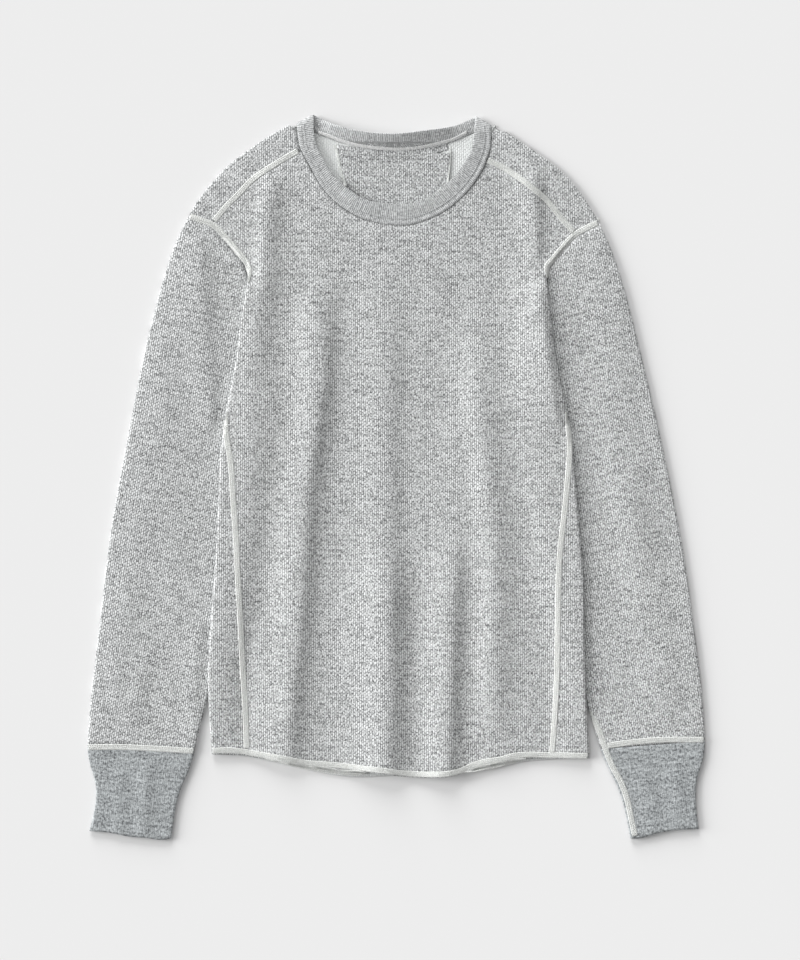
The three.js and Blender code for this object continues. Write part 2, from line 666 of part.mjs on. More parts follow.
function pinned(at, start, finish) {
  const low = start.clone().sub(at(0));
  const high = finish.clone().sub(at(1));
  return (t) => at(t).addScaledVector(low, (1 - t) ** PIN_POWER).addScaledVector(high, t ** PIN_POWER);
}

// Back panel
const BACK_COUNTS = [5, 20];
const MIDDLE_ROWS = 6;
const WRAP_ROWS = 6;
const WRAP_STEPS = 8;

function backMiddle(point) {
  const side = point.x < 0 ? "left" : "right";
  const { sign } = LANDMARKS[side];
  const arc = sideArc(side, point);
  if (point.y < UNDERARM && arc < TURN * HALF_PI) {
    const { inward, share } = turned(arc, TURN);
    const x = sign * (bodyEdge(side, point.y) - inward);
    return new THREE.Vector3(x, point.y, mix(frontHeight(x, point.y), backHeight(x, point.y), share));
  }
  const { run, bulge, inward } = shoulderPlace(side, point);
  const shoulderArc = inward + EXTRA * SHOULDER_TURN;
  if (point.y > UNDERARM && shoulderArc < SHOULDER_TURN * HALF_PI) {
    const fold = turned(shoulderArc, SHOULDER_TURN);
    const p = shoulderPoint(side, run, bulge, fold.inward);
    return new THREE.Vector3(p.x, p.y, mix(frontHeight(p.x, p.y), FLOOR, fold.share));
  }
  return new THREE.Vector3(point.x, point.y, backHeight(point.x, point.y));
}

function backNeck() {
  const leftTop = neckLine(CORNERS.left, TIPS.left).map((p) => shoulderUnfolded("left", p, true));
  const rightTop = neckLine(TIPS.right, CORNERS.right).map((p) => shoulderUnfolded("right", p, true));
  const low = neckLine(STATIONS, TIPS.right).slice(1, -1).map((p) =>
    shoulderUnfolded(p.x < 0 ? "left" : "right", p, false));
  return [...leftTop, ...low, ...rightTop];
}

function backPanel() {
  const sides = Object.fromEntries(["left", "right"].map((side) => {
    const { sign, frontTop } = LANDMARKS[side];
    const armhole = mirrored(smooth(BACK_ARMHOLE[side]), sign).reverse();
    const corner = armhole[armhole.length - 1];
    const top = new THREE.Vector2(sign * frontTop[0], frontTop[1]);
    const wrap = Array.from({ length: WRAP_STEPS + 1 }, (_, k) =>
      shoulderUnfolded(side, corner.clone().lerp(top, k / WRAP_STEPS), true));
    return [side, routeUp(sideLine(side, false), [...armhole.slice(0, -1), wrap[0]], wrap)];
  }));
  const shoulders = { left: shoulderLine("left", false), right: shoulderLine("right", false) };
  const neck = backNeck();
  const top = route(
    [...shoulders.left.slice(0, -1), neck[0]], neck,
    [neck[neck.length - 1], ...shoulders.right.slice(0, -1).reverse()]);
  const lines = {
    left: sides.left,
    right: sides.right,
    low: route(smooth(BACK_HEM)),
    high: top,
    levelTo: LEVEL_TO,
  };
  lines.left.at = pinned(lines.left.at, lines.low.at(0), top.at(0));
  lines.right.at = pinned(lines.right.at, lines.low.at(1), top.at(1));
  const stripArc = (point) => Math.min(...["left", "right"].map((side) =>
    shoulderPlace(side, point).inward + EXTRA * SHOULDER_TURN));
  const reach = (side, u) => -stripArc(top.at(u)) / (1 - sides[side].corners[1]);
  const total = (u) => mix(reach("left", 0), reach("right", 1), u);
  const rowShare = (j, u) => {
    const seam = mix(sides.left.corners[0], sides.right.corners[0], u);
    const steps = foldSteps(stripArc(top.at(u)), SHOULDER_TURN);
    const wrap = 1 - steps[WRAP_ROWS] / total(u);
    if (j <= SEAM_ROWS) return seam * seamShare(j);
    if (j <= SEAM_ROWS + MIDDLE_ROWS) return mix(seam, wrap, (j - SEAM_ROWS) / MIDDLE_ROWS);
    return 1 - steps[SEAM_ROWS + MIDDLE_ROWS + WRAP_ROWS - j] / total(u);
  };
  const count = SEAM_ROWS + MIDDLE_ROWS + WRAP_ROWS;
  const grid = panelGrid({ lines, counts: BACK_COUNTS, rowCount: count, rowShare, foldTop: UNDERARM });
  grid.forEach((row, j) => {
    if (j <= SEAM_ROWS + MIDDLE_ROWS) return;
    row.forEach((point, k) => {
      const start = stripArc(grid[count][k]);
      const wanted = start + foldSteps(start, SHOULDER_TURN)[count - j];
      const side = point.x < 0 ? "left" : "right";
      const weight = 1 - ease(4, 14, start);
      point.addScaledVector(SHOULDERS[side].inner, weight * (wanted - stripArc(point)));
    });
  });
  return wall(grid.map((row) => row.map(backMiddle)), CLOTH);
}

// The shares between the ends of a line cut into equal lengths
const between = (count) => Array.from({ length: count - 1 }, (_, k) => (k + 1) / count);

// Sleeves and cuffs are flat tubes: an upper and a lower patch that share their two folded edges
function tube(lines, upperShares, lowerShares, rowCount, thickness, heights) {
  const rows = [];
  for (let j = 0; j <= rowCount; j++) {
    const v = j / rowCount;
    const width = lines.upper.left.at(v).distanceTo(lines.upper.right.at(v));
    const row = [];
    const add = (line, u, share) => {
      const p = patchPoint(line, u, v);
      row.push(new THREE.Vector3(p.x, p.y, mix(heights.low, heights.high(p.x, p.y), share)));
    };
    const radius = TUBE / 2 / width;
    const bend = radius * (1 - Math.SQRT1_2);
    const near = (1 + Math.SQRT1_2) / 2;
    add(lines.upper, 0, 0.5);
    for (const [u, share] of [[bend, near], [radius, 1], ...upperShares.map((s) => [s, 1]),
      [1 - radius, 1], [1 - bend, near]]) add(lines.upper, u, share);
    add(lines.upper, 1, 0.5);
    for (const [u, share] of [[bend, 1 - near], [radius, 0], ...lowerShares.map((s) => [s, 0]),
      [1 - radius, 0], [1 - bend, 1 - near]]) add(lines.lower, 1 - u, share);
    rows.push(row);
  }
  return wall(rows, thickness, true);
}

const SLEEVE_ROWS = 15;
const SLEEVE_COLUMNS = 9;
const HIDDEN_COLUMNS = 6;
const HIDDEN_STEPS = 12;
const INNER_STEPS = 30;

function sleeve(side) {
  const { sign, frontTop } = LANDMARKS[side];
  const outerCorner = new THREE.Vector2(...BACK_ARMHOLE[side][0]);
  const top = new THREE.Vector2(...frontTop);
  const hidden = [];
  for (let k = 0; k <= HIDDEN_STEPS; k++) {
    const y = mix(FOLD_START, UNDERARM, k / HIDDEN_STEPS);
    hidden.push(new THREE.Vector2(read(HIDDEN_ARMHOLE, "y", side, y), y));
  }
  const upper = route([outerCorner, top], [top, hidden[0]], hidden);
  const lower = route(smooth(BACK_ARMHOLE[side]));
  const end = SLEEVE_END[side];
  const outer = route(smooth(SLEEVE_OUTER[side]));
  const inner = [];
  for (let k = 0; k <= INNER_STEPS; k++) {
    const y = mix(UNDERARM, end, k / INNER_STEPS);
    inner.push(new THREE.Vector2(read(SLEEVE_INNER, "y", side, y), y));
  }
  const innerLine = route(inner);
  const cuffEnd = route([outer.at(1), inner[inner.length - 1]]);
  const clear = new THREE.Vector2(SLEEVE_GAP, -SLEEVE_GAP);
  const shifted = (line) => ({ at: (t) => line.at(t).add(clear) });
  const signed = (line) => ({ at: (t) => line.at(t).multiply(new THREE.Vector2(sign, 1)) });
  const edges = {
    left: signed({ at: pinned(outer.at, outer.at(0).add(clear), outer.at(1)) }),
    right: signed({ at: pinned(innerLine.at, innerLine.at(0).add(clear), innerLine.at(1)) }),
    high: signed(cuffEnd),
  };
  const [toTop, toFold] = upper.corners;
  const upperShares = [toTop / 2, toTop, mix(toTop, toFold, 0.5), toFold];
  for (let k = 1; k < HIDDEN_COLUMNS; k++) upperShares.push(mix(toFold, 1, k / HIDDEN_COLUMNS));
  const lowerShares = between(SLEEVE_COLUMNS);
  return tube({
    upper: { ...edges, low: signed(shifted(upper)) },
    lower: { ...edges, low: signed(shifted(lower)) },
  }, upperShares, lowerShares, SLEEVE_ROWS, CLOTH, { low: FLOOR, high: (x, y) => sleeveHeight(side, x, y) });
}

const CUFF_ROWS = 5;
const CUFF_COLUMNS = 8;

function cuff(side) {
  const { sign } = LANDMARKS[side];
  const { outer, inner, end } = CUFFS[side];
  const edge = (list) => route(mirrored(smooth(list), sign));
  const lines = {
    left: edge(outer),
    right: edge(inner),
    low: route(mirrored(straight([outer[0], inner[0]]), sign)),
    high: edge(end),
  };
  const shares = between(CUFF_COLUMNS);
  const low = CUFF_CLOTH / 2;
  return tube({ upper: lines, lower: lines }, shares, shares, CUFF_ROWS, CUFF_CLOTH,
    { low, high: () => low + TUBE });
}

function neckband() {
  const count = STATIONS * NECKBAND_STEPS;
  const rows = NECKBAND_ACROSS.map((share) => Array.from({ length: count }, (_, k) => {
    const t = k / count;
    return seamCurve.getPoint(t).lerp(edgeCurve.getPoint(t), share);
  }));
  return wall(rows, (j) => NECKBAND * NECKBAND_WALL[j], true);
}

function neckPatch() {
  const line = (list) => route(smooth(list));
  const lines = {
    left: line(PATCH.left),
    right: line(PATCH.right),
    low: line(PATCH.bottom),
    high: line(PATCH.top),
  };
  const z = CLOTH + GAP + PATCH_CLOTH / 2;
  const rows = [];
  for (let j = 0; j <= PATCH_ROWS; j++) {
    rows.push(Array.from({ length: PATCH_COLUMNS + 1 }, (_, k) => {
      const p = patchPoint(lines, k / PATCH_COLUMNS, j / PATCH_ROWS);
      return new THREE.Vector3(p.x, p.y, z);
    }));
  }
  return wall(rows, PATCH_CLOTH);
}

function piece(name, geometry, color) {
  const material = new THREE.MeshStandardMaterial({ color, roughness: 0.95, metalness: 0 });
  const mesh = new THREE.Mesh(geometry, material);
  mesh.name = name;
  return mesh;
}

const garment = new THREE.Group();
garment.add(
  piece("front", frontPanel(), CLOTH_GREY),
  piece("back", backPanel(), CLOTH_GREY),
  piece("sleeve_left", sleeve("left"), CLOTH_GREY),
  piece("sleeve_right", sleeve("right"), CLOTH_GREY),
  piece("cuff_left", cuff("left"), CUFF_GREY),
  piece("cuff_right", cuff("right"), CUFF_GREY),
  piece("neckband", neckband(), CLOTH_GREY),
  piece("neck_patch", neckPatch(), CLOTH_GREY),
);

// The origin is the middle of the box that the top fills, on the surface it lies on
const middle = new THREE.Box3().setFromObject(garment).getCenter(new THREE.Vector3());
garment.position.set(-middle.x, -middle.y, 0);

export default garment;
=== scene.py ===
import math

import bmesh
import bpy
import numpy as np
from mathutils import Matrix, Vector
from mathutils.bvhtree import BVHTree


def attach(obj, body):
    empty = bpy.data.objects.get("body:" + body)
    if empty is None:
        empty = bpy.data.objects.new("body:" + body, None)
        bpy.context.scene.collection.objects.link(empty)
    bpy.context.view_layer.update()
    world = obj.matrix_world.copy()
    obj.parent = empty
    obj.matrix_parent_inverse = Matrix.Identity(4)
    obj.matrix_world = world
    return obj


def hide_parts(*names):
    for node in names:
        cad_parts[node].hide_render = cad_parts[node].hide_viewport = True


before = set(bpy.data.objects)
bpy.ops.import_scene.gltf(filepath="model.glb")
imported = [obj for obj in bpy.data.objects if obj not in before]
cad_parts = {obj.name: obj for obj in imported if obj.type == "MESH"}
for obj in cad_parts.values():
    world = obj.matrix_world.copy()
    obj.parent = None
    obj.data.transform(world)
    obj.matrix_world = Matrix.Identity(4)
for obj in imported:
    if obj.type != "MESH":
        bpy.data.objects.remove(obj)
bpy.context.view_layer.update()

# Picture and frame
PICTURE = (800, 960)
MM_PER_PX = 1.03
MIDDLE_PX = (393, 478)
SHIFT_MM = (-3.245, -0.28)
MM = 0.001


def plan(px, py):
    """A place in the picture as metres in the part's frame."""
    x = (px - MIDDLE_PX[0]) * MM_PER_PX + SHIFT_MM[0]
    y = (MIDDLE_PX[1] - py) * MM_PER_PX + SHIFT_MM[1]
    return np.array([x, y]) * MM


# Camera, straight above the top
CAMERA_HEIGHT = 6.0
SENSOR = 36.0
CLIP_END = 100
camera_data = bpy.data.cameras.new("camera")
camera_data.sensor_width = SENSOR
camera_data.lens = SENSOR * CAMERA_HEIGHT / (PICTURE[1] * MM_PER_PX * MM)
camera_data.clip_end = CLIP_END
camera = bpy.data.objects.new("camera", camera_data)
camera.location = (*plan(PICTURE[0] / 2, PICTURE[1] / 2), CAMERA_HEIGHT)
bpy.context.scene.collection.objects.link(camera)
bpy.context.scene.camera = camera


# Node helpers
def add(tree, kind, inputs=None, **settings):
    node = tree.nodes.new("ShaderNode" + kind)
    for key, value in settings.items():
        setattr(node, key, value)
    for key, value in (inputs or {}).items():
        if isinstance(value, bpy.types.NodeSocket):
            tree.links.new(value, node.inputs[key])
        else:
            node.inputs[key].default_value = value
    return node


def calc(tree, operation, *values):
    return add(tree, "Math", dict(enumerate(values)), operation=operation).outputs[0]


def grain(tree, place, stretch, detail=2.0, roughness=0.5):
    """Noise from 0 to 1 around 0.5, with so many grains to the metre along each direction."""
    scaled = add(tree, "VectorMath", {0: place, 1: (*stretch, 1.0)}, operation="MULTIPLY").outputs[0]
    inputs = {"Vector": scaled, "Scale": 1.0, "Detail": detail, "Roughness": roughness}
    return add(tree, "TexNoise", inputs).outputs[0]


def spread(tree, value, low, high):
    inputs = {"Value": value, "From Min": low, "From Max": high}
    return add(tree, "MapRange", inputs, clamp=True).outputs[0]


def blend(tree, share, dark, light):
    inputs = {0: share, 6: (*dark, 1), 7: (*light, 1)}
    return add(tree, "Mix", inputs, data_type="RGBA").outputs[2]


# Cloth materials; lengths in metres unless they say mm
SPECULAR = 0.2
SHEEN_ROUGHNESS = 0.5
CLOTH_ROUGHNESS, CLOTH_SHEEN = 0.93, 0.2
YARN_ROUGHNESS, YARN_SHEEN = 0.85, 0.3
BUMP_STRENGTH = 0.8
WAFFLE_RELIEF = 0.0006
RIB_RELIEF = 0.0005
YARN_RELIEF = 0.0005
STITCH_LENGTH, STITCH_WIDTH, STITCH_GAP = 3.5, 2.15, 0.56  # mm
STRAY = (0.0018, 0.0036, 0)  # how far the stitches wander


def new_material(name, roughness, sheen):
    material = bpy.data.materials.new(name)
    material.use_nodes = True
    tree = material.node_tree
    shader = tree.nodes["Principled BSDF"]
    shader.inputs["Roughness"].default_value = roughness
    shader.inputs["Specular IOR Level"].default_value = SPECULAR
    shader.inputs["Sheen Weight"].default_value = sheen
    shader.inputs["Sheen Roughness"].default_value = SHEEN_ROUGHNESS
    return material, tree, shader


def finish(tree, shader, colour, height, distance):
    tree.links.new(colour, shader.inputs["Base Color"])
    bump = add(tree, "Bump", {"Strength": BUMP_STRENGTH, "Distance": distance, "Height": height})
    tree.links.new(bump.outputs[0], shader.inputs["Normal"])


def weighted(tree, terms):
    """0.5 plus each noise's distance from 0.5 times its weight."""
    total = 0.5
    for value, weight in terms:
        share = calc(tree, "MULTIPLY", calc(tree, "SUBTRACT", value, 0.5), weight)
        total = calc(tree, "ADD", share, total)
    return calc(tree, "MINIMUM", calc(tree, "MAXIMUM", total, 0.0), 1.0)


def waffle(name, dark, light, weights):
    """Heather waffle knit: short upright stitches in a brick lay, streaked along the rows."""
    material, tree, shader = new_material(name, CLOTH_ROUGHNESS, CLOTH_SHEEN)
    place = add(tree, "Attribute", attribute_name="knit").outputs["Vector"]
    wander = grain(tree, place, (240, 210))
    shifted = add(tree, "VectorMath", {0: wander, 1: STRAY, 2: place},
                  operation="MULTIPLY_ADD").outputs[0]
    parts = add(tree, "SeparateXYZ", {0: shifted}).outputs
    upright = add(tree, "CombineXYZ", {0: parts[1], 1: parts[0]}).outputs[0]
    brick = add(tree, "TexBrick", {
        "Vector": upright, "Color1": (0, 0, 0, 1), "Color2": (1, 1, 1, 1), "Mortar": (0.5, 0.5, 0.5, 1),
        "Scale": 1 / MM, "Mortar Size": STITCH_GAP, "Mortar Smooth": 1.0, "Bias": 0.0,
        "Brick Width": STITCH_LENGTH, "Row Height": STITCH_WIDTH}, offset=0.5, offset_frequency=2)
    tone = brick.outputs["Color"]
    stitch = calc(tree, "SUBTRACT", 1.0, brick.outputs["Fac"])
    fleck = spread(tree, grain(tree, place, (640, 380), roughness=0.75), 0.32, 0.68)
    streak = spread(tree, grain(tree, place, (45, 330), detail=3.0, roughness=0.6), 0.34, 0.66)
    band = spread(tree, grain(tree, place, (7, 60)), 0.3, 0.7)
    share = weighted(tree, zip((stitch, tone, fleck, streak, band), weights))
    height = calc(tree, "MULTIPLY_ADD", fleck, 0.25, stitch)
    finish(tree, shader, blend(tree, share, dark, light), height, WAFFLE_RELIEF)
    return material


def rib(name, dark, light, weights, pitch, cord_share):
    """Heather rib knit: raised cords along the second direction of the cloth."""
    material, tree, shader = new_material(name, CLOTH_ROUGHNESS, CLOTH_SHEEN)
    place = add(tree, "Attribute", attribute_name="knit").outputs["Vector"]
    across = add(tree, "SeparateXYZ", {0: place}).outputs[0]
    wave = calc(tree, "SINE", calc(tree, "MULTIPLY", across, 2 * math.pi / pitch))
    cord = calc(tree, "MULTIPLY_ADD", wave, 0.5, 0.5)
    fleck = spread(tree, grain(tree, place, (430, 400), detail=3.0, roughness=0.75), 0.32, 0.68)
    streak = spread(tree, grain(tree, place, (60, 260), roughness=0.6), 0.34, 0.66)
    band = spread(tree, grain(tree, place, (18, 90)), 0.3, 0.7)
    share = weighted(tree, zip((cord, fleck, streak, band), weights))
    height = calc(tree, "MULTIPLY_ADD", cord, cord_share, calc(tree, "MULTIPLY", fleck, 0.5))
    finish(tree, shader, blend(tree, share, dark, light), height, RIB_RELIEF)
    return material


def yarn(name, dark, light, pitch):
    """Close threads that slant away from the middle of their row, as in a flat seam or a twisted thread."""
    material, tree, shader = new_material(name, YARN_ROUGHNESS, YARN_SHEEN)
    place = add(tree, "Attribute", attribute_name="knit").outputs["Vector"]
    parts = add(tree, "SeparateXYZ", {0: place}).outputs
    away = calc(tree, "ABSOLUTE", parts[1])
    run = calc(tree, "ADD", away, parts[0])
    wave = calc(tree, "SINE", calc(tree, "MULTIPLY", run, 2 * math.pi / pitch))
    turn = calc(tree, "MULTIPLY_ADD", wave, 0.5, 0.5)
    fleck = spread(tree, grain(tree, place, (560, 560), detail=3.0, roughness=0.7), 0.34, 0.66)
    share = weighted(tree, ((turn, 0.35), (fleck, 1.2)))
    finish(tree, shader, blend(tree, share, dark, light), calc(tree, "ADD", turn, fleck), YARN_RELIEF)
    return material


# Dark and light tones, then the weights of stitch, tone, fleck, streak and band for a waffle, or of cord,
# fleck, streak and band for a rib, then a pitch in metres, and a cord's share of the relief
CLOTH = waffle("heather_waffle", (0.125, 0.129, 0.13), (0.79, 0.804, 0.806), (0.6, 0.55, 1.0, 0.32, 0.06))
INSIDE = waffle("pale_inside", (0.68, 0.7, 0.695), (0.9, 0.92, 0.91), (0.4, 0.25, 0.5, 0.2, 0.1))
CUFF_RIB = rib("cuff_rib", (0.115, 0.122, 0.127), (0.565, 0.595, 0.605), (0.08, 1.15, 0.3, 0.12),
               0.0021, 0.25)
NECK_RIB = rib("neck_rib", (0.17, 0.175, 0.178), (0.76, 0.775, 0.775), (0.5, 0.8, 0.1, 0.12),
               0.0019, 0.7)
# Painted light: the band's back half is the neck rib in lighter tones, to offset the shade its slope away
# from the keys falls into
BACK_RIB_PAINTED_LIGHTER = rib("back_neck_rib_painted_lighter", (0.21, 0.215, 0.22), (0.88, 0.895, 0.895), (0.5, 0.8, 0.1, 0.12),
               0.0019, 0.7)
SEAM_CLOTH = yarn("seam_cloth", (0.7, 0.715, 0.69), (0.99, 1.0, 0.98), 0.0021)
TAPE = yarn("neck_tape", (0.66, 0.67, 0.67), (1.0, 1.0, 0.99), 0.0019)
RIM_CLOTH = yarn("cut_edge", (0.6, 0.62, 0.6), (0.98, 1.0, 0.975), 0.0016)
THREAD = yarn("cream_thread", (0.6, 0.62, 0.6), (0.98, 1.0, 0.975), 0.0008)
GREY_THREAD = yarn("grey_thread", (0.45, 0.46, 0.47), (0.92, 0.93, 0.93), 0.0016)


# Shells on the solids' forms; lengths in metres
SHARP = math.radians(60)
OUTER, INNER, RIM = 0, 1, 2
FREE, OUTER_SIDE, INNER_SIDE = 0, 1, 2
LOOK = 0.08  # rays start this far above or below the cloth
SKIN = 0.00001  # the step past a surface to the next one
MERGE = 0.000002  # points closer than this are one

# A place in the picture for each form, and which hits of a ray from above are its outer and inner sides
SEEDS = {
    "front": ((400, 500), 0, 1), "back": ((400, 500), 1, 0), "neck_patch": ((395, 165), 0, 1),
    "sleeve_left": ((160, 450), 0, 1), "sleeve_right": ((635, 450), 0, 1),
    "cuff_left": ((130, 790), 0, 1), "cuff_right": ((655, 790), 0, 1), "neckband": ((394, 214), 0, 1),
}


def sides_of(bm, spot, outer_hit, inner_hit):
    """The side each face is on. Faces join over their smoothest edges first, and no group takes both."""
    bm.faces.ensure_lookup_table()
    tree = BVHTree.FromBMesh(bm)
    x, y = plan(*spot)
    hits, z = [], LOOK
    for _ in range(max(outer_hit, inner_hit) + 1):
        hit = tree.ray_cast(Vector((x, y, z)), Vector((0, 0, -1)))
        hits.append(hit[2])
        z = hit[0].z - SKIN
    group = list(range(len(bm.faces)))
    side = [FREE] * len(bm.faces)
    side[hits[outer_hit]] = OUTER_SIDE
    side[hits[inner_hit]] = INNER_SIDE

    def root(k):
        while group[k] != k:
            group[k] = group[group[k]]
            k = group[k]
        return k

    joints = [(edge.calc_face_angle(0), edge.index) for edge in bm.edges if len(edge.link_faces) == 2]
    bm.edges.ensure_lookup_table()
    for angle, k in sorted(joints):
        if angle > SHARP:
            break
        a, b = (root(face.index) for face in bm.edges[k].link_faces)
        if a == b or {side[a], side[b]} == {OUTER_SIDE, INNER_SIDE}:
            continue
        group[a] = b
        side[b] = max(side[a], side[b])
    return [side[root(k)] for k in range(len(bm.faces))]


def shell(name, levels):
    """A finer copy of a node's form, with its outer side, inner side and rims told apart."""
    bm = bmesh.new()
    bm.from_mesh(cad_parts[name].data)
    bmesh.ops.remove_doubles(bm, verts=bm.verts, dist=MERGE)
    bmesh.ops.join_triangles(bm, faces=bm.faces, angle_face_threshold=math.pi,
                             angle_shape_threshold=math.pi)
    bmesh.ops.recalc_face_normals(bm, faces=bm.faces)
    bm.normal_update()
    bm.faces.index_update()
    bm.edges.index_update()
    side = sides_of(bm, *SEEDS[name])
    crease = bm.edges.layers.float.new("crease_edge")
    for edge in bm.edges:
        if len(edge.link_faces) != 2 or edge.calc_face_angle(0) > SHARP:
            edge[crease] = 1.0
    for face in bm.faces:
        face.material_index = {OUTER_SIDE: OUTER, INNER_SIDE: INNER, FREE: RIM}[side[face.index]]
        face.smooth = True
    mesh = bpy.data.meshes.new(name + "_shell")
    bm.to_mesh(mesh)
    bm.free()
    piece = bpy.data.objects.new(name + "_cloth", mesh)
    bpy.context.scene.collection.objects.link(piece)
    fine = piece.modifiers.new("fine", "SUBSURF")
    fine.levels = fine.render_levels = levels
    evaluated = piece.evaluated_get(bpy.context.evaluated_depsgraph_get())
    piece.data = bpy.data.meshes.new_from_object(evaluated)
    piece.modifiers.clear()
    piece.data.name = name + "_cloth"
    return piece


def points_of(piece):
    co = np.empty(len(piece.data.vertices) * 3)
    piece.data.vertices.foreach_get("co", co)
    return co.reshape(-1, 3)


def put_points(piece, co):
    piece.data.vertices.foreach_set("co", co.ravel())
    piece.data.update()


TINY = 1e-12
RIM_PASSES = 6  # how many times the sides' values spread into the rims


def facing_up(piece):
    """For each point, from 1 on a folded piece's upper layer to -1 on its lower. Rims go with the sides."""
    mesh = piece.data
    count = len(mesh.polygons)
    normals, areas = np.empty(count * 3), np.empty(count)
    kinds = np.empty(count, int)
    mesh.polygons.foreach_get("normal", normals)
    mesh.polygons.foreach_get("area", areas)
    mesh.polygons.foreach_get("material_index", kinds)
    sign = np.where(kinds == OUTER, 1.0, np.where(kinds == INNER, -1.0, 0.0))
    corners, totals = np.empty(len(mesh.loops), int), np.empty(count, int)
    mesh.polygons.foreach_get("loop_total", totals)
    mesh.loops.foreach_get("vertex_index", corners)
    face = np.repeat(np.arange(count), totals)
    up = np.zeros(len(mesh.vertices))
    whole = np.full(len(mesh.vertices), TINY)
    np.add.at(up, corners, (sign * areas * normals.reshape(-1, 3)[:, 2])[face])
    np.add.at(whole, corners, (np.abs(sign) * areas)[face])
    up /= whole
    ends = np.empty(len(mesh.edges) * 2, int)
    mesh.edges.foreach_get("vertices", ends)
    a, b = ends.reshape(-1, 2).T
    known = whole > 2 * TINY
    for _ in range(RIM_PASSES):
        total, known_near = np.zeros(len(up)), np.zeros(len(up))
        for here, there in ((a, b), (b, a)):
            np.add.at(total, here, up[there] * known[there])
            np.add.at(known_near, here, known[there])
        filled = ~known & (known_near > 0)
        up[filled] = total[filled] / known_near[filled]
        known |= filled
    return up


def ease(low, high, value):
    t = np.clip((value - low) / (high - low), 0, 1)
    return t * t * (3 - 2 * t)


# The body's sides, in picture pixels
BODY_LEFT = [(249, 267), (237, 330), (228.7, 400), (223.6, 430), (220.3, 460), (219.3, 520), (214.8, 580),
             (210, 640), (207.5, 690), (210.2, 740), (213, 757)]
BODY_RIGHT = [(546, 267), (555, 340), (563, 400), (569.5, 440), (576.7, 500), (583.3, 580), (583, 640),
              (586, 700), (589, 757)]


def edge_at(line, py):
    rows = np.array(line, float)
    return np.interp(py, rows[:, 1], rows[:, 0])


def to_pixels(co):
    px = (co[:, 0] / MM - SHIFT_MM[0]) / MM_PER_PX + MIDDLE_PX[0]
    py = MIDDLE_PX[1] - (co[:, 1] / MM - SHIFT_MM[1]) / MM_PER_PX
    return px, py


# Creases: pixels along the ridge, height in mm, and its slopes' widths in pixels
BODY_CREASES = [
    {"line": [(329, 250), (326, 300), (323, 380), (314, 440), (306, 490), (303, 550), (298, 620),
              (292, 690), (288, 750), (284, 830)], "height": 4.7, "left": 25, "right": 11},
    {"line": [(388, 290), (387, 360), (387, 440), (388, 540), (389, 650)],
     "height": 1.9, "left": 28, "right": 12},
    {"line": [(389, 540), (390, 640), (390, 700), (388, 770), (387, 850)],
     "height": 6.8, "left": 27, "right": 14},
    {"line": [(451, 400), (454, 500), (454, 560)], "height": 1.2, "left": 20, "right": 12},
    {"line": [(454, 520), (452, 625), (449, 700), (447, 770), (446, 840)],
     "height": 5.8, "left": 20, "right": 11},
    {"line": [(468, 330), (476, 400), (485, 450), (492, 525), (495, 600), (492, 675), (490, 760)],
     "height": 4.0, "left": 14, "right": 24},
    {"line": [(276, 160), (268, 205), (264, 240), (262, 310)], "height": 3.2, "left": 13, "right": 14},
    {"line": [(527, 160), (540, 200), (544, 232), (550, 275)], "height": 3.6, "left": 20, "right": 9},
    {"line": [(306, 190), (313, 225), (318, 262)], "height": 1.2, "left": 11, "right": 12},
    {"line": [(252, 300), (254, 360), (248, 430), (252, 500)], "height": 1.1, "left": 11, "right": 12},
    {"line": [(544, 272), (551, 330), (556, 390), (561, 445)], "height": 3.2, "left": 21, "right": 8},
    {"line": [(354, 560), (352, 640), (349, 720)], "height": 0.8, "left": 12, "right": 12},
    {"line": [(425, 250), (431, 330), (433, 430)], "height": 0.7, "left": 20, "right": 14},
    {"line": [(535, 560), (530, 640), (528, 760)], "height": 0.9, "left": 12, "right": 16},
    {"line": [(262, 620), (258, 690), (258, 770)], "height": 0.9, "left": 10, "right": 12},
]
SLEEVE_CREASES = [
    {"line": [(197, 225), (201, 285), (205, 340), (211, 400), (214, 450)],
     "height": 2.6, "left": 18, "right": 8},
    {"line": [(163, 300), (160, 380), (152, 470)], "height": 0.8, "left": 14, "right": 16},
    {"line": [(186, 470), (180, 550), (168, 650)], "height": 0.7, "left": 18, "right": 14},
    {"line": [(133, 560), (122, 640), (113, 725)], "height": 0.8, "left": 13, "right": 12},
    {"line": [(152, 640), (139, 690), (128, 740)], "height": 1.0, "left": 9, "right": 10},
    {"line": [(603, 255), (616, 330), (627, 420)], "height": 1.1, "left": 16, "right": 15},
    {"line": [(206, 600), (203, 660), (199, 705), (195, 770)], "height": 1.6, "left": 11, "right": 6},
    {"line": [(620, 440), (634, 530), (644, 640)], "height": 1.0, "left": 17, "right": 15},
    {"line": [(655, 560), (664, 640), (668, 725)], "height": 0.7, "left": 12, "right": 12},
]
CUFF_CREASES = [
    {"line": [(148, 752), (145, 800), (143, 850)], "height": 1.3, "left": 9, "right": 8},
    {"line": [(118, 762), (120, 800), (119, 850)], "height": 0.9, "left": 8, "right": 9},
    {"line": [(638, 765), (650, 800), (657, 845)], "height": 0.9, "left": 9, "right": 8},
    {"line": [(674, 755), (678, 795), (678, 845)], "height": 0.8, "left": 8, "right": 9},
]
FADE = 0.22  # the share of a crease's length over which each end dies away
FAR = 1e9


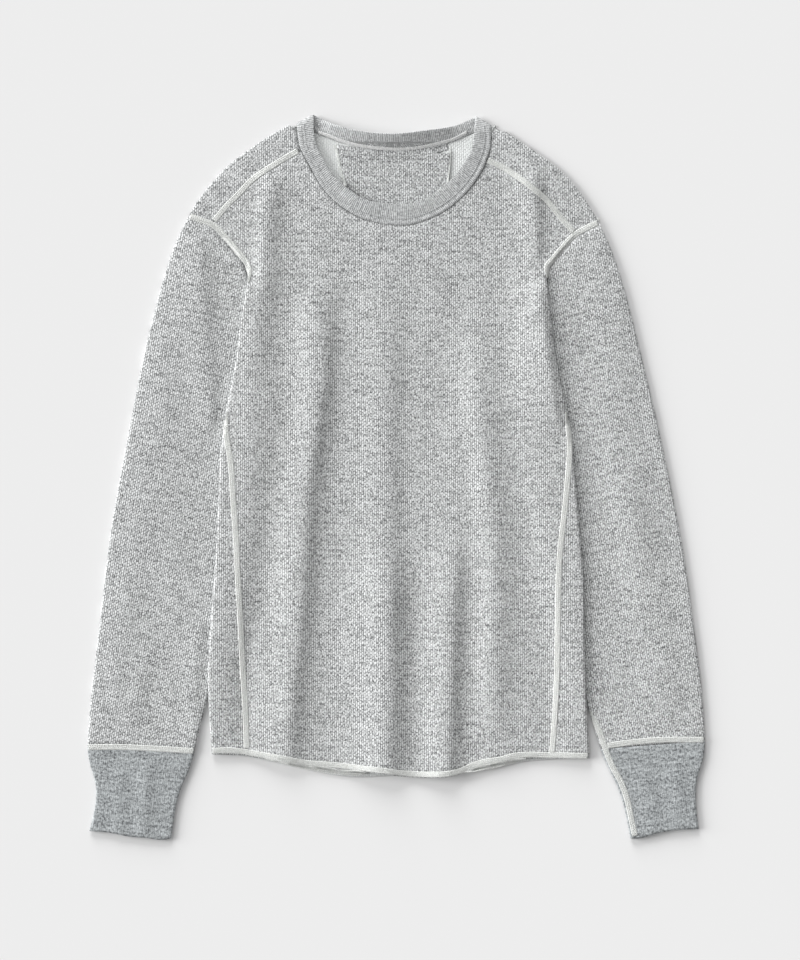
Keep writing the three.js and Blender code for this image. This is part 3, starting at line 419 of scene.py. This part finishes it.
def crease_height(creases, px, py):
    """The creases' height in metres at each place."""
    total = np.zeros(len(px))
    for row in creases:
        line = np.array(row["line"], float)
        steps = np.diff(line, axis=0)
        lengths = np.hypot(*steps.T)
        ends = np.concatenate([[0], np.cumsum(lengths)])
        best = np.full(len(px), FAR)
        off, along = np.zeros(len(px)), np.zeros(len(px))
        for k, step in enumerate(steps):
            dx, dy = px - line[k, 0], py - line[k, 1]
            t = np.clip((dx * step[0] + dy * step[1]) / lengths[k] ** 2, 0, 1)
            apart = np.hypot(dx - t * step[0], dy - t * step[1])
            side = np.sign(dy * step[0] - dx * step[1])
            near = apart < best
            best = np.where(near, apart, best)
            off = np.where(near, apart * side, off)
            along = np.where(near, ends[k] + t * lengths[k], along)
        share = along / ends[-1]
        width = np.where(off > 0, row["left"], row["right"])
        fade = ease(0, FADE, share) * ease(0, FADE, 1 - share)
        total += row["height"] * MM * fade * np.exp(-((off / width) ** 2))
    return total


UNDER_RISE = 0.5 * MM
UNDER_WAVES = [(31, 9, 0.4), (-17, 13, 1.9), (24, -21, 4.2), (7, 33, 2.6)]
UNDER_RAMP = (0.2, 2.6)  # where the waves' sum begins and ends to lift the cloth
RESTING_BELOW = 0.3 * MM  # points above this aren't part of the underside
DOWN_RAMP = (0.3, 0.8)  # how far a point has to face down to take the hollows
UP_RAMP = (0.1, 0.9)  # and how far up, to be lifted by the creases


def under_dents(co):
    """Soft hollows in the underside, which rests on the floor between them."""
    wave = sum(np.sin(a * co[:, 0] + b * co[:, 1] + c) for a, b, c in UNDER_WAVES)
    return UNDER_RISE * ease(*UNDER_RAMP, wave)


def crease(piece, creases, inside=None):
    """Lifts a shell's upper side along the creases, and gives its underside the soft hollows."""
    co = points_of(piece)
    px, py = to_pixels(co)
    up = facing_up(piece)
    height = crease_height(creases, px, py)
    if inside is not None:
        height *= inside(px, py)
    resting = ease(*DOWN_RAMP, -up) * (co[:, 2] < RESTING_BELOW)
    co[:, 2] += height * ease(*UP_RAMP, up) + under_dents(co) * resting
    put_points(piece, co)


# How far from the body's edge creases begin and reach their full height, in pixels
LEFT_RAMP = (2, 16)
RIGHT_RAMP = (1, 11)
SLEEVE_RAMP = (3, 16)


def in_body(px, py):
    from_left = ease(*LEFT_RAMP, px - edge_at(BODY_LEFT, py))
    return from_left * ease(*RIGHT_RAMP, edge_at(BODY_RIGHT, py) - px)


def off_body(px, py):
    beside = np.maximum(edge_at(BODY_LEFT, py) - px, px - edge_at(BODY_RIGHT, py))
    return ease(*SLEEVE_RAMP, beside)


def set_knit(piece, angle=0.0):
    """Stores the cloth's own directions: across the piece, and along it."""
    x, y, _ = points_of(piece).T
    c, s = math.cos(angle), math.sin(angle)
    knit = np.stack([c * x + s * y, c * y - s * x, np.zeros(len(x))], axis=1)
    put_knit(piece.data, knit)


def put_knit(mesh, knit):
    layer = mesh.attributes.new("knit", "FLOAT_VECTOR", "POINT")
    layer.data.foreach_set("vector", np.asarray(knit, np.float32).ravel())


def wear(piece, *materials):
    """Gives a shell its materials: outer, inner and rim, or the band's front and back halves."""
    for material in materials:
        piece.data.materials.append(material)


SLEEVE_TURN = {"left": math.radians(-10), "right": math.radians(10)}
CUFF_TURN = {"left": math.radians(-7), "right": math.radians(6)}

front = shell("front", levels=2)
back = shell("back", levels=2)
sleeves = {side: shell("sleeve_" + side, levels=2) for side in ("left", "right")}
cuffs = {side: shell("cuff_" + side, levels=3) for side in ("left", "right")}
band = shell("neckband", levels=2)
patch = shell("neck_patch", levels=2)

crease(front, BODY_CREASES, in_body)
crease(back, BODY_CREASES, in_body)
for side in ("left", "right"):
    crease(sleeves[side], SLEEVE_CREASES, off_body)
    crease(cuffs[side], CUFF_CREASES)
    set_knit(sleeves[side], SLEEVE_TURN[side])
    set_knit(cuffs[side], CUFF_TURN[side])
    wear(sleeves[side], CLOTH, INSIDE, CLOTH)
    wear(cuffs[side], CUFF_RIB, CUFF_RIB, CUFF_RIB)
for piece in (front, back, patch):
    set_knit(piece)
wear(front, CLOTH, INSIDE, RIM_CLOTH)
wear(back, CLOTH, INSIDE, RIM_CLOTH)
wear(patch, CLOTH, CLOTH, CLOTH)
wear(band, NECK_RIB, BACK_RIB_PAINTED_LIGHTER)

# The neckband's own directions: round the ring, and across the band
BAND_FRONT = [(305, 125), (309, 150), (320, 170), (335, 188), (353, 203), (372, 211.5), (394, 214.5),
              (413, 214), (434, 206), (454, 189), (470, 171), (479, 153), (483, 130)]
BAND_BACK = [(474, 124), (455, 131), (438, 134.5), (419, 137.5), (400, 140), (373, 138.5), (357, 136),
             (340, 131.5), (325, 125.5), (314, 121)]
ring = np.array([plan(*p) for p in BAND_FRONT + BAND_BACK])
ring_lengths = np.concatenate([[0], np.cumsum(np.hypot(*np.diff(ring, axis=0).T))])

# The band's back half lies above this y, within this x or below this z, in metres
BACK_FROM_Y = 0.345
BACK_HALF = 0.078
BACK_TOP_Z = 0.0033


def along_ring(co):
    """How far round the ring each point lies, taken from the front or the back half of the band."""
    split = len(BAND_FRONT)
    place = np.zeros(len(co))
    away = np.zeros(len(co))
    is_back = (co[:, 1] > BACK_FROM_Y) & ((np.abs(co[:, 0]) < BACK_HALF) | (co[:, 2] < BACK_TOP_Z))
    for half, (first, last) in enumerate(((0, split - 1), (split, len(ring) - 1))):
        best = np.full(len(co), FAR)
        for k in range(first, last):
            step = ring[k + 1] - ring[k]
            size = np.hypot(*step)
            off = co[:, :2] - ring[k]
            t = (off @ step) / size ** 2
            t = np.clip(t, 0 if k > first else -1, 1 if k < last - 1 else 2)
            apart = np.hypot(*(off - t[:, None] * step).T)
            take = (apart < best) & (is_back == bool(half))
            best = np.where(apart < best, apart, best)
            place = np.where(take, ring_lengths[k] + t * size, place)
            away = np.where(take, apart, away)
    return place, away


band_co = points_of(band)
place, away = along_ring(band_co)
put_knit(band.data, np.stack([place, away, np.zeros(len(place))], axis=1))
# The back half takes the lighter rib, whose extra lightness is painted light against the shade on its slope
corner = [face.vertices[0] for face in band.data.polygons]
on_back = place[corner] > ring_lengths[len(BAND_FRONT) - 1]
band.data.polygons.foreach_set("material_index", on_back.astype(int))

shells = [front, back, *sleeves.values(), *cuffs.values(), band, patch]


# What lies on the cloth follows it: places are found by looking down, or up, on the shells
def tree_of(pieces):
    verts, faces = [], []
    for piece in pieces:
        base = len(verts)
        verts += [v.co.copy() for v in piece.data.vertices]
        faces += [[base + k for k in p.vertices] for p in piece.data.polygons]
    return BVHTree.FromPolygons(verts, faces)


all_cloth = tree_of(shells)


def height_at(x, y, under):
    start = Vector((x, y, -LOOK if under else LOOK))
    hit = all_cloth.ray_cast(start, Vector((0, 0, 1 if under else -1)), 2 * LOOK)
    return None if hit[0] is None else hit[0].z


def resample(points, step):
    """Even places along a smooth line through the points, with the direction across it at each."""
    points = np.array(points, float)
    ends = np.concatenate([[0], np.cumsum(np.hypot(*np.diff(points, axis=0).T))])
    count = max(2, int(round(ends[-1] / step)) + 1)
    places = np.linspace(0, ends[-1], count)
    slopes = np.gradient(points, ends, axis=0)
    k = np.clip(np.searchsorted(ends, places, side="right") - 1, 0, len(points) - 2)
    span = (ends[k + 1] - ends[k])[:, None]
    t = ((places - ends[k])[:, None]) / span
    line = ((1 + 2 * t) * (1 - t) ** 2 * points[k] + t * (1 - t) ** 2 * span * slopes[k]
            + t * t * (3 - 2 * t) * points[k + 1] - t * t * (1 - t) * span * slopes[k + 1])
    heading = np.gradient(line, axis=0)
    heading /= np.hypot(*heading.T)[:, None]
    side = np.stack([heading[:, 1], -heading[:, 0]], axis=1)
    return line, side, places


REACH = 0.0008  # how far to either side the cloth is felt for
SMOOTHING = 2  # passes


def smoothed(values):
    for _ in range(SMOOTHING):
        values = np.convolve(np.pad(values, 1, mode="edge"), (0.25, 0.5, 0.25), "valid")
    return values


def surface_line(line, side, under):
    """The cloth's height along a line, with the drops at gaps between pieces bridged."""
    rows = []
    for share in (-1, 0, 1):
        found = [height_at(x, y, under) for x, y in line + share * REACH * side]
        known = [k for k, z in enumerate(found) if z is not None]
        if known:
            rows.append(np.interp(np.arange(len(found)), known, [found[k] for k in known]))
    if not rows:
        return None
    extreme = np.min if under else np.max
    z = np.pad(extreme(rows, axis=0), 1, mode="edge")
    z = extreme([z[:-2], z[1:-1], z[2:]], axis=0)
    return smoothed(z)


def surfaces(line, side, half, shares, under):
    """The cloth's height along lines side by side. One that is off the cloth takes its neighbour's."""
    tops = [surface_line(line + s * half[:, None] * side, side, under) for s in shares]
    found = [k for k, top in enumerate(tops) if top is not None]
    return [tops[min(found, key=lambda j: abs(j - k))] for k in range(len(tops))]


def build(name, verts, faces, knit, material):
    mesh = bpy.data.meshes.new(name)
    mesh.from_pydata(verts, [], faces)
    mesh.polygons.foreach_set("use_smooth", [True] * len(mesh.polygons))
    put_knit(mesh, knit)
    mesh.materials.append(material)
    mesh.update()
    piece = bpy.data.objects.new(name, mesh)
    bpy.context.scene.collection.objects.link(piece)
    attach(piece, "root")
    return piece


NARROW = 0.3  # a tapered end's share of the whole width


def tapered(places, taper):
    """The share of the width at each place, for ends that narrow over so many millimetres."""
    share = np.ones(len(places))
    for length, run in zip(taper, (places, places[-1] - places)):
        if length:
            share *= NARROW + (1 - NARROW) * ease(0, length * MM, run)
    return share


# How strips and threads are made, in mm and in shares of the half width and the height
STRIP_STEP = 1.6
STRIP_BED = 0.35
ACROSS = np.array([-1, -0.8, -0.35, 0, 0.35, 0.8, 1])
CROWN = np.array([0.1, 0.75, 1, 1, 1, 0.75, 0.1])
THREAD_SIDES = 5


class Sewing:
    """Strips and threads gathered into one mesh."""

    def __init__(self):
        self.verts, self.faces, self.knit = [], [], []

    def loft(self, rings, marks):
        """A closed solid through rings of points, with marks for the cloth's directions."""
        base, size = len(self.verts), len(rings[0])
        for points, mark in zip(rings, marks):
            self.verts += [tuple(p) for p in points]
            self.knit += [tuple(m) for m in mark]
        for j in range(len(rings) - 1):
            for i in range(size):
                a, b = base + j * size + i, base + j * size + (i + 1) % size
                self.faces.append((a, b, b + size, a + size))
        last = base + (len(rings) - 1) * size
        self.faces.append(tuple(range(base + size - 1, base - 1, -1)))
        self.faces.append(tuple(range(last, last + size)))

    def strip(self, points, width, height, under=False, taper=(0, 0)):
        """A crowned strip of cloth or close stitches that follows what is under it."""
        line, side, places = resample([plan(*p) for p in points], STRIP_STEP * MM)
        crown = height * MM * CROWN
        half = width / 2 * MM * tapered(places, taper)
        tops = surfaces(line, side, half, ACROSS, under)
        sign = -1 if under else 1
        rings, marks = [], []
        for j in range(len(line)):
            xy = [line[j] + s * half[j] * side[j] for s in ACROSS]
            high = [(*p, top[j] + sign * c) for p, top, c in zip(xy, tops, crown)]
            low = [(*p, top[j] - sign * STRIP_BED * MM) for p, top in zip(xy, tops)]
            rings.append((high + low[::-1]) if under else (high[::-1] + low))
            across = [(places[j], s * width / 2 * MM, 0) for s in ACROSS]
            marks.append((across + across[::-1]) if under else (across[::-1] + across))
        self.loft(rings, marks)

    def thread(self, points, radius):
        """A round thread along points in space."""
        points = np.array(points, float)
        heading = np.gradient(points, axis=0)
        heading /= np.linalg.norm(heading, axis=1)[:, None]
        across = np.cross(heading, (0, 0, 1.0))
        across /= np.linalg.norm(across, axis=1)[:, None]
        rise = np.cross(across, heading)
        turns = np.linspace(0, 2 * math.pi, THREAD_SIDES, endpoint=False)
        rings = [[p + radius * (math.cos(t) * a + math.sin(t) * r) for t in turns]
                 for p, a, r in zip(points, across, rise)]
        run = np.concatenate([[0], np.cumsum(np.linalg.norm(np.diff(points, axis=0), axis=1))])
        marks = [[(s, t * radius, 0) for t in turns] for s in run]
        self.loft(rings, marks)

    def made(self, name, material, slot):
        return build(name, self.verts, self.faces, self.knit, material)


# Flat seams: the band's width and height, the crossing threads' pitch and the thread's radius, in mm
FLATLOCK = 5.8
FLATLOCK_HEIGHT = 0.4
PITCH = 2.3
THREAD_R = 0.2
ROWS = (-0.72, 0.0, 0.72)  # the stitch rows' places across the band
CROSSING_LOW, CROSSING_HIGH = 0.85, 1.05  # shares of the band's height
ROW_LOW, ROW_HIGH = 0.8, 1.1


def flatlock(seams, threads, points, height=FLATLOCK_HEIGHT, under=False, taper=(0, 0)):
    """A flat seam: its raised band, the crossing threads and the rows of stitches along them."""
    seams.strip(points, FLATLOCK, height, under, taper=taper)
    line, side, places = resample([plan(*p) for p in points], PITCH / 2 * MM)
    sign = -1 if under else 1
    half = FLATLOCK / 2 * MM * tapered(places, taper)
    tops = dict(zip(ROWS, surfaces(line, side, half, ROWS, under)))
    zigzag = []
    for j in range(len(line)):
        share = ROWS[-1] if j % 2 else ROWS[0]
        p = line[j] + share * half[j] * side[j]
        zigzag.append((*p, tops[share][j] + sign * height * MM * CROSSING_LOW))
        if j + 1 < len(line):
            p = (line[j] + line[j + 1]) / 2
            z = (tops[0.0][j] + tops[0.0][j + 1]) / 2
            zigzag.append((*p, z + sign * height * MM * CROSSING_HIGH))
    threads.thread(zigzag, THREAD_R * MM)
    for share in ROWS:
        row = line + share * half[:, None] * side
        wave = np.where(np.arange(len(row)) % 2, ROW_LOW, ROW_HIGH)
        stitches = [(*p, z + sign * height * MM * w) for p, z, w in zip(row, tops[share], wave)]
        threads.thread(stitches, THREAD_R * MM)


# Seams, in picture pixels
SEAMS = {
    "armhole_left": [(190.5, 216.5), (201, 220.3), (213, 225), (225.6, 237.4), (238, 252.2), (247.5, 264.5),
                     (249.5, 272), (248.6, 283)],
    "armhole_right": [(597.5, 223), (587, 228), (574, 235.5), (564, 246), (553, 259), (547, 266.5),
                      (547.6, 278)],
    "shoulder_left": [(214.5, 221), (225.6, 207.4), (239.6, 193.3), (251.6, 180.7), (275, 164.5),
                      (298, 151)],
    "shoulder_right": [(573.5, 232), (564, 221.5), (546, 200), (524, 182), (500, 166), (487.5, 160.5)],
    "side_left": [(227.6, 412), (226.4, 424), (226.2, 433), (227.4, 441), (230.6, 460), (233.4, 500),
                  (236.3, 540), (238.2, 580), (240.5, 620), (243, 670), (245.5, 710), (246.8, 748)],
    "side_right": [(565.4, 412), (567.2, 424), (569, 436), (569.4, 450), (567.4, 480), (565.6, 500),
                   (559.2, 560), (557.6, 620), (556.6, 680), (554.5, 720), (552, 752)],
    "cuff_left": [(88.5, 747), (120, 746.8), (155, 748.4), (193.6, 750.8)],
    "cuff_right": [(607.5, 745.5), (630, 742.3), (655, 740), (703.5, 739.5)],
    "underarm_right": [(590.8, 712), (594.8, 721.5), (601.8, 738), (605.4, 749.3), (612, 765.5),
                       (620.8, 782), (627.2, 800), (631.2, 819), (634.8, 835.5)],
    "hem_left": [(213, 750.6), (228, 750), (249, 751.8)],
    "hem_front": [(246, 752), (262, 754.5), (280, 757.6), (308, 762.8), (337, 765), (367, 768.4),
                  (385, 770.4), (400, 772.6), (432, 774), (450, 773), (461, 770.2), (472.6, 765.2),
                  (485, 761.4), (498, 759.6), (514, 755.6), (553, 754.9)],
    "hem_back": [(258, 755.6), (274, 758.6), (290, 762.6), (308, 766.6), (330, 770.4), (345, 772.2),
                 (368, 773.2)],
    "hem_step": [(458, 770.6), (472, 769), (483, 767), (497, 764.8), (510, 761.2), (526, 758.4)],
    "hem_right": [(549.5, 754.8), (570, 755.2), (587.5, 755.6)],
}

# How many millimetres a seam's band takes to narrow at its first and at its last end
TAPERS = {"side_left": (22, 0), "side_right": (22, 0), "armhole_left": (0, 16), "armhole_right": (0, 10),
          "underarm_right": (14, 0), "hem_back": (20, 10), "hem_step": (8, 16)}

# The same seams on the underside, which rests on them
UNDER_HEIGHT = 0.12
UNDER_SEAMS = [
    [(191, 217.5), (197.5, 228), (204.5, 240), (210.5, 252), (216.5, 264), (222, 276), (227, 288),
     (231.5, 299)],
    [(596.5, 218), (595, 228), (589.5, 240), (583.5, 252), (578, 264), (572, 276), (566.5, 288),
     (562, 299)],
    [(90, 747.8), (95, 747.9), (130, 749.2), (153, 750), (180, 751.2), (193, 751.6)],
    [(603, 748.4), (620, 747.2), (647, 745.2), (660, 744.2), (700, 741.2), (703, 741)],
    [(214, 750.5), (231, 752), (264, 756.5), (290, 762.6), (308, 766.8), (330, 771), (343, 773),
     (365, 773.6), (384, 772.8), (420, 771.5), (455, 769.5), (483, 766.8), (510, 761), (538, 757),
     (586, 754.8)],
]
seams, threads = Sewing(), Sewing()
for name, points in SEAMS.items():
    flatlock(seams, threads, points, taper=TAPERS.get(name, (0, 0)))
for points in UNDER_SEAMS:
    flatlock(seams, threads, points, UNDER_HEIGHT, under=True)
seam_bands = seams.made("seam_bands", SEAM_CLOTH, "waffle_cloth")
seam_threads = threads.made("seam_threads", THREAD, "waffle_cloth")

# Neck: the tape behind the rib, the cloth between it and the patch, and the patch's side edges, in
# picture pixels, with widths and heights in mm
NECK_TAPE = [(318, 132.5), (327, 135.2), (341, 140.7), (357, 145.2), (373, 147.7), (400, 149.4),
             (419, 147.8), (438, 143.8), (454, 139.2), (467, 132.5)]
PATCH_TOP = [(337.5, 148.6), (344, 149.8), (357, 150.8), (373, 152.2), (400, 153.2), (419, 151.8),
             (438, 148.8), (448, 146.5)]
PATCH_LEFT = [(334.6, 145), (337, 152.8), (340.8, 172), (346, 187)]
PATCH_RIGHT = [(450.9, 146), (450.4, 162.4), (449, 172), (447.4, 183)]
patch_head = Sewing()
patch_head.strip(PATCH_TOP, width=8, height=0.2)
patch_top = patch_head.made("neck_patch_top", CLOTH, "waffle_cloth")
tape = Sewing()
tape.strip(NECK_TAPE, width=3.2, height=0.5)
neck_tape = tape.made("neck_tape", TAPE, "waffle_cloth")
edging = Sewing()
edging.strip(PATCH_LEFT, width=3.0, height=0.3)
edging.strip(PATCH_RIGHT, width=1.6, height=0.2)
patch_edging = edging.made("patch_edging", THREAD, "waffle_cloth")

# The band's joint with the body, and the two rows of stitches along it: lines in picture pixels, sizes in mm
BAND_SEAM = [(299.5, 126.5), (303.5, 149.7), (312, 166), (324, 187), (341.6, 204.6), (360, 215.6),
             (378, 221), (394.8, 223.3), (411.6, 222.6), (432.5, 215.6), (452, 203.6), (468.6, 187),
             (482, 166), (489, 141), (488.5, 128)]
BAND_INNER = [(303.6, 124), (307.6, 149), (316.2, 164), (327.6, 184), (344.4, 200.8), (361.6, 211.2),
              (378.4, 216.4), (394.8, 218.6), (411, 218), (430.4, 211.4), (449.2, 200), (465, 184.4),
              (477.6, 164.4), (484.4, 141), (484, 126)]
STITCH = 2.6
STITCH_R = 0.22
STITCH_LIFT, STITCH_WAVE = 0.2, 0.12
STEPS = 4  # points to a stitch
binding = Sewing()
binding.strip(BAND_SEAM, width=3.8, height=0.22)
band_joint = binding.made("neckband_joint", NECK_RIB, "rib_cloth")
rows = Sewing()
for line in (BAND_SEAM, BAND_INNER):
    path, across, _ = resample([plan(*p) for p in line], STITCH / STEPS * MM)
    heights = surface_line(path, across, under=False)
    wave = np.sin(np.arange(len(path)) * 2 * math.pi / STEPS)
    stitches = [(*p, z + (STITCH_LIFT + STITCH_WAVE * w) * MM) for p, z, w in zip(path, heights, wave)]
    rows.thread(stitches, STITCH_R * MM)
band_stitches = rows.made("neckband_stitches", GREY_THREAD, "rib_cloth")

# Every piece rides on the one body and stands for its solid
SHELLS = [
    (front, "front", "waffle_cloth"), (back, "back", "waffle_cloth"),
    (sleeves["left"], "sleeve_left", "waffle_cloth"), (sleeves["right"], "sleeve_right", "waffle_cloth"),
    (cuffs["left"], "cuff_left", "rib_cloth"), (cuffs["right"], "cuff_right", "rib_cloth"),
    (band, "neckband", "rib_cloth"), (patch, "neck_patch", "waffle_cloth"),
]
for piece, node, slot in SHELLS:
    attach(piece, "root")
    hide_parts(node)

FLOOR_NAME = "floor"

# Floor
FLOOR_HALF = 8.0
FLOOR_DROP = 0.0004
FLOOR_COLOUR = (0.8, 0.8, 0.8, 1)
floor_mesh = bpy.data.meshes.new(FLOOR_NAME)
corners = [(x * FLOOR_HALF, y * FLOOR_HALF, -FLOOR_DROP) for x, y in ((-1, -1), (1, -1), (1, 1), (-1, 1))]
floor_mesh.from_pydata(corners, [], [(0, 1, 2, 3)])
floor = bpy.data.objects.new(FLOOR_NAME, floor_mesh)
bpy.context.scene.collection.objects.link(floor)
floor_material, _, floor_shader = new_material("pale_floor", roughness=0.9, sheen=0.0)
floor_shader.inputs["Base Color"].default_value = FLOOR_COLOUR
floor_mesh.materials.append(floor_material)

# Light: low soft keys from the left and from the top of the picture, and an even pale surround
SURROUND = 0.41
KEY_HEIGHT = math.radians(20)
KEY_SPREAD = math.radians(34)
KEYS = [
    {"name": "key_left", "azimuth": 172, "energy": 3.45},
    {"name": "key_top", "azimuth": 108, "energy": 2.5},
]
bpy.context.scene.view_settings.view_transform = "Standard"
world = bpy.data.worlds.new("surround")
world.use_nodes = True
world.node_tree.nodes["Background"].inputs[0].default_value = (1, 1, 1, 1)
world.node_tree.nodes["Background"].inputs[1].default_value = SURROUND
bpy.context.scene.world = world
for row in KEYS:
    key_data = bpy.data.lights.new(row["name"], "SUN")
    key_data.energy = row["energy"]
    key_data.angle = KEY_SPREAD
    key = bpy.data.objects.new(row["name"], key_data)
    turn = math.radians(row["azimuth"])
    toward = Vector((math.cos(turn) * math.cos(KEY_HEIGHT), math.sin(turn) * math.cos(KEY_HEIGHT),
                     math.sin(KEY_HEIGHT)))
    key.rotation_euler = toward.to_track_quat("Z", "Y").to_euler()
    bpy.context.scene.collection.objects.link(key)
